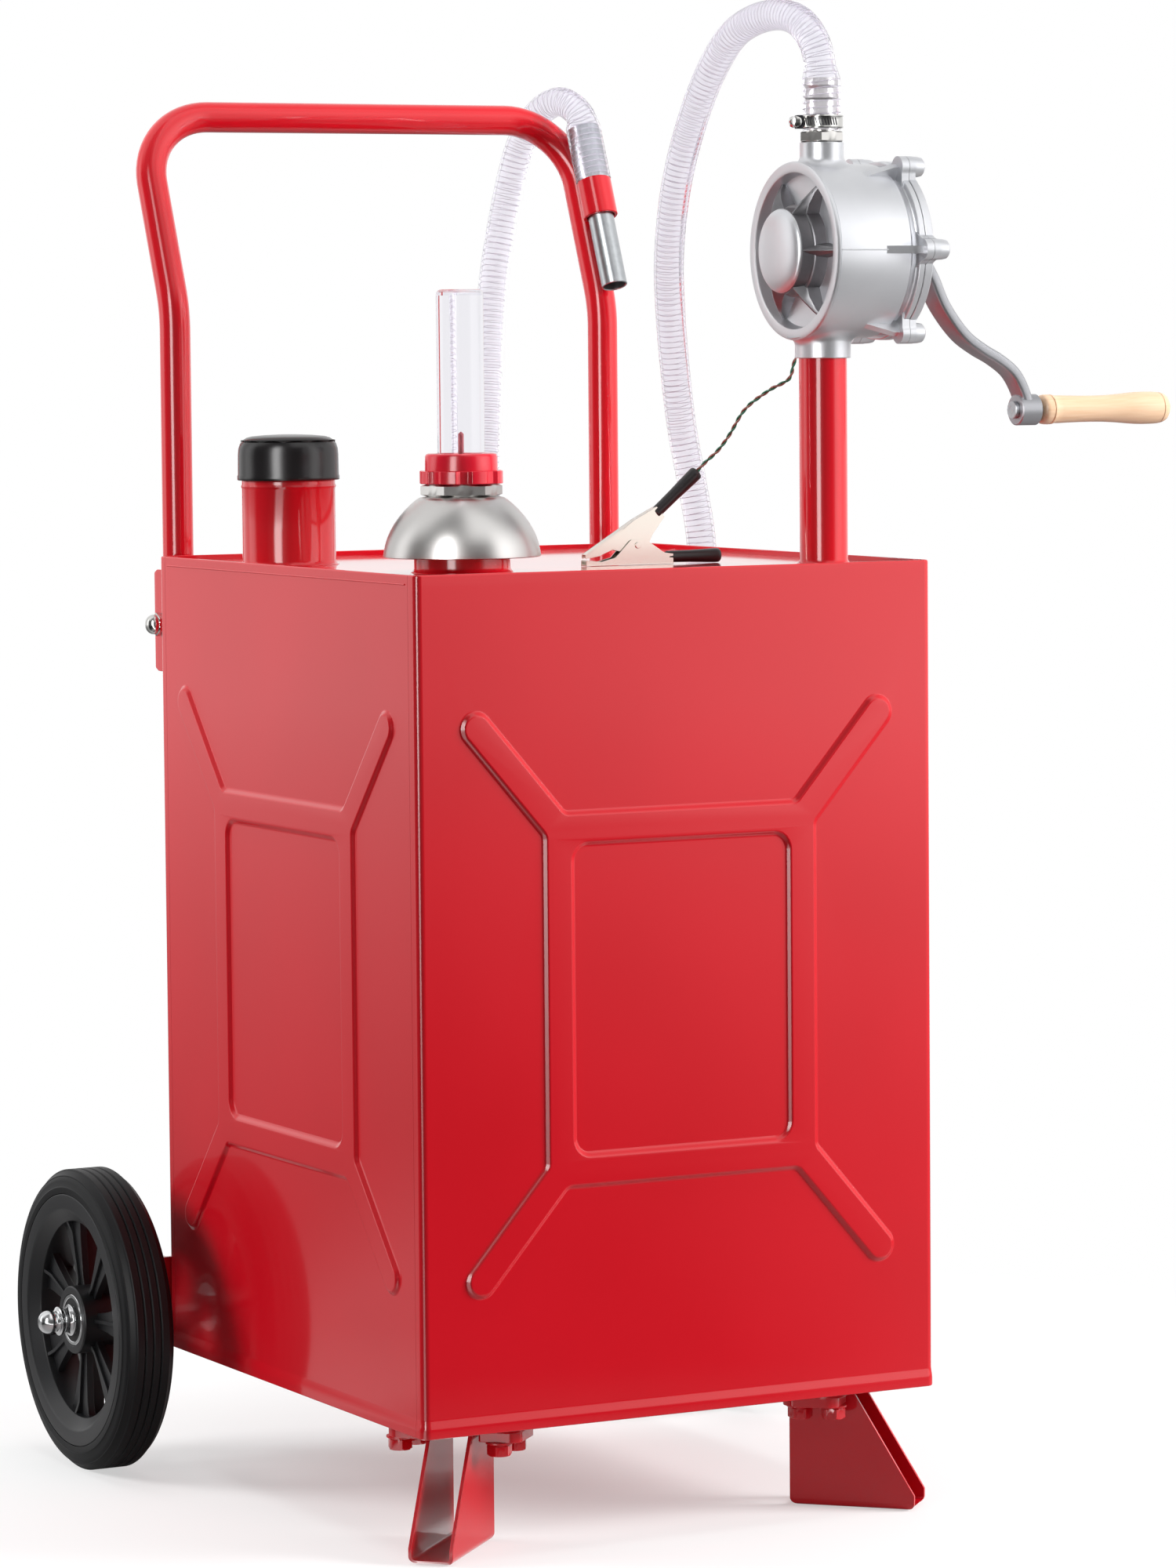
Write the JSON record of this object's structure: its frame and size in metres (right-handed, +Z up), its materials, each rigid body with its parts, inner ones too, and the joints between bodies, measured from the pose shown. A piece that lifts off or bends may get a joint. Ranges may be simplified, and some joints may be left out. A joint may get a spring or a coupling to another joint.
{
  "type": "fuel caddy",
  "caption": "Wheeled steel fuel caddy: box tank with pressed walls, push handle, hand rotary pump with crank, float gauge, screw cap, hose with nozzle and earth lead.",
  "frame": {"origin": "bottom centre of the bounding box of the rigid pieces, on the floor under the feet and tyres", "axes": "+X to the right seen from the front, where the crank is; +Y to the back, where the wheels and handle are; +Z up"},
  "size_m": [0.8282, 0.6476, 1.1934],
  "materials": {
    "red_paint": "gloss red enamel",
    "black_plastic": "semi-gloss black moulding",
    "black_rubber": "matt",
    "red_plastic": "gloss red moulding",
    "clear_plastic": "clear, transparent",
    "clear_hose": "clear soft vinyl with a fine spiral thread",
    "lead_cover": "twisted two-colour covering",
    "cast_aluminium": "satin cast",
    "bright_steel": "bright satin",
    "zinc": "zinc plated",
    "tyre_rubber": "matt black",
    "light_wood": "turned beech, clear lacquer"
  },
  "bodies": {
    "caddy": {"tank_front": "red_paint", "tank_rear": "red_paint", "tank_right": "red_paint", "tank_left": "red_paint", "tank_top": "red_paint", "tank_bottom": "red_paint", "filler_neck": "red_paint", "gauge_neck": "red_paint", "riser_pipe": "red_paint", "suction_tube": "zinc", "gauge_dome": "bright_steel", "hex_bush": "zinc", "sight_tube": "clear_plastic", "collar_nut": "red_plastic", "gauge_stem": "zinc", "pump_body": "cast_aluminium", "pump_cover": "cast_aluminium", "pump_end_plate": "cast_aluminium", "outlet_fitting": "zinc", "hose_clamp": "bright_steel", "handle_frame": "red_paint", "handle_bracket_left": "red_paint", "handle_bolt_left": "bright_steel", "handle_bracket_right": "red_paint", "handle_bolt_right": "bright_steel", "nozzle_holster": "red_paint", "axle": "zinc", "axle_spacer_left": "zinc", "axle_nut_left": "bright_steel", "axle_bracket_left": "red_paint", "axle_spacer_right": "zinc", "axle_nut_right": "bright_steel", "axle_bracket_right": "red_paint", "leg_left": "red_paint", "leg_right": "red_paint", "hose": "clear_hose", "hose_end": "clear_hose", "earth_lead": "lead_cover", "clip_lower": "bright_steel"},
    "wheel_left": {"tyre_left": "tyre_rubber", "rim_left": "black_plastic", "bearing_outer_left": "bright_steel", "bearing_inner_left": "bright_steel"},
    "wheel_right": {"tyre_right": "tyre_rubber", "rim_right": "black_plastic", "bearing_outer_right": "bright_steel", "bearing_inner_right": "bright_steel"},
    "crank": {"pump_shaft": "zinc", "pump_rotor": "zinc", "crank_arm": "cast_aluminium", "grip_pin": "zinc"},
    "grip": {"wooden_grip": "light_wood"},
    "cap_seal": {"cap_gasket": "black_rubber"},
    "cap": {"filler_cap": "black_plastic"},
    "nozzle": {"nozzle_tube": "zinc"},
    "gauge_arm": {"float_arm": "zinc", "gauge_float": "black_plastic"},
    "indicator": {"indicator_rod": "black_plastic"},
    "clip_jaw": {"clip_upper": "bright_steel"}
  },
  "joints": [
    {"name": "wheel_left_spin", "type": "hinge", "parent": "caddy", "child": "wheel_left", "pos_m": [-0.36515, 0.1876, 0.124], "axis": [1, 0, 0], "continuous": true},
    {"name": "wheel_right_spin", "type": "hinge", "parent": "caddy", "child": "wheel_right", "pos_m": [0.20685, 0.1876, 0.124], "axis": [1, 0, 0], "continuous": true},
    {"name": "crank_turn", "type": "hinge", "parent": "caddy", "child": "crank", "pos_m": [0.15, -0.2294, 0.994], "axis": [1, 0, 0], "continuous": true},
    {"name": "grip_spin", "type": "hinge", "parent": "crank", "child": "grip", "pos_m": [0.35385, -0.2294, 0.8667], "axis": [1, 0, 0], "continuous": true},
    {"name": "cap_lift", "type": "slide", "parent": "caddy", "child": "cap_seal", "axis": [0, 0, 1], "range_m": [0, 0.06]},
    {"name": "cap_turn", "type": "hinge", "parent": "cap_seal", "child": "cap", "pos_m": [-0.25015, 0.0336, 0.83], "axis": [0, 0, 1], "range_deg": [0, 1080]},
    {"name": "nozzle_slide", "type": "slide", "parent": "caddy", "child": "nozzle", "axis": [0, 0.3746, 0.9272], "range_m": [0, 0.1], "deforming": ["hose_end"]},
    {"name": "float_hinge", "type": "hinge", "parent": "caddy", "child": "gauge_arm", "pos_m": [-0.20115, -0.24756, 0.425], "axis": [1, 0, 0], "range_deg": [0, 85]},
    {"name": "indicator_slide", "type": "slide", "parent": "caddy", "child": "indicator", "axis": [0, 0, 1], "range_m": [0, 0.1]},
    {"name": "clip_open", "type": "hinge", "parent": "caddy", "child": "clip_jaw", "pos_m": [-0.03615, -0.1544, 0.7637], "axis": [0, 1, 0], "range_deg": [0, 20], "stiffness_Nm_per_rad": 0.3, "deforming": ["earth_lead"]}
  ],
  "couplings": [
    {"joint": "indicator_slide", "follows": "float_hinge", "m_per_rad": 0.06733}
  ]
}
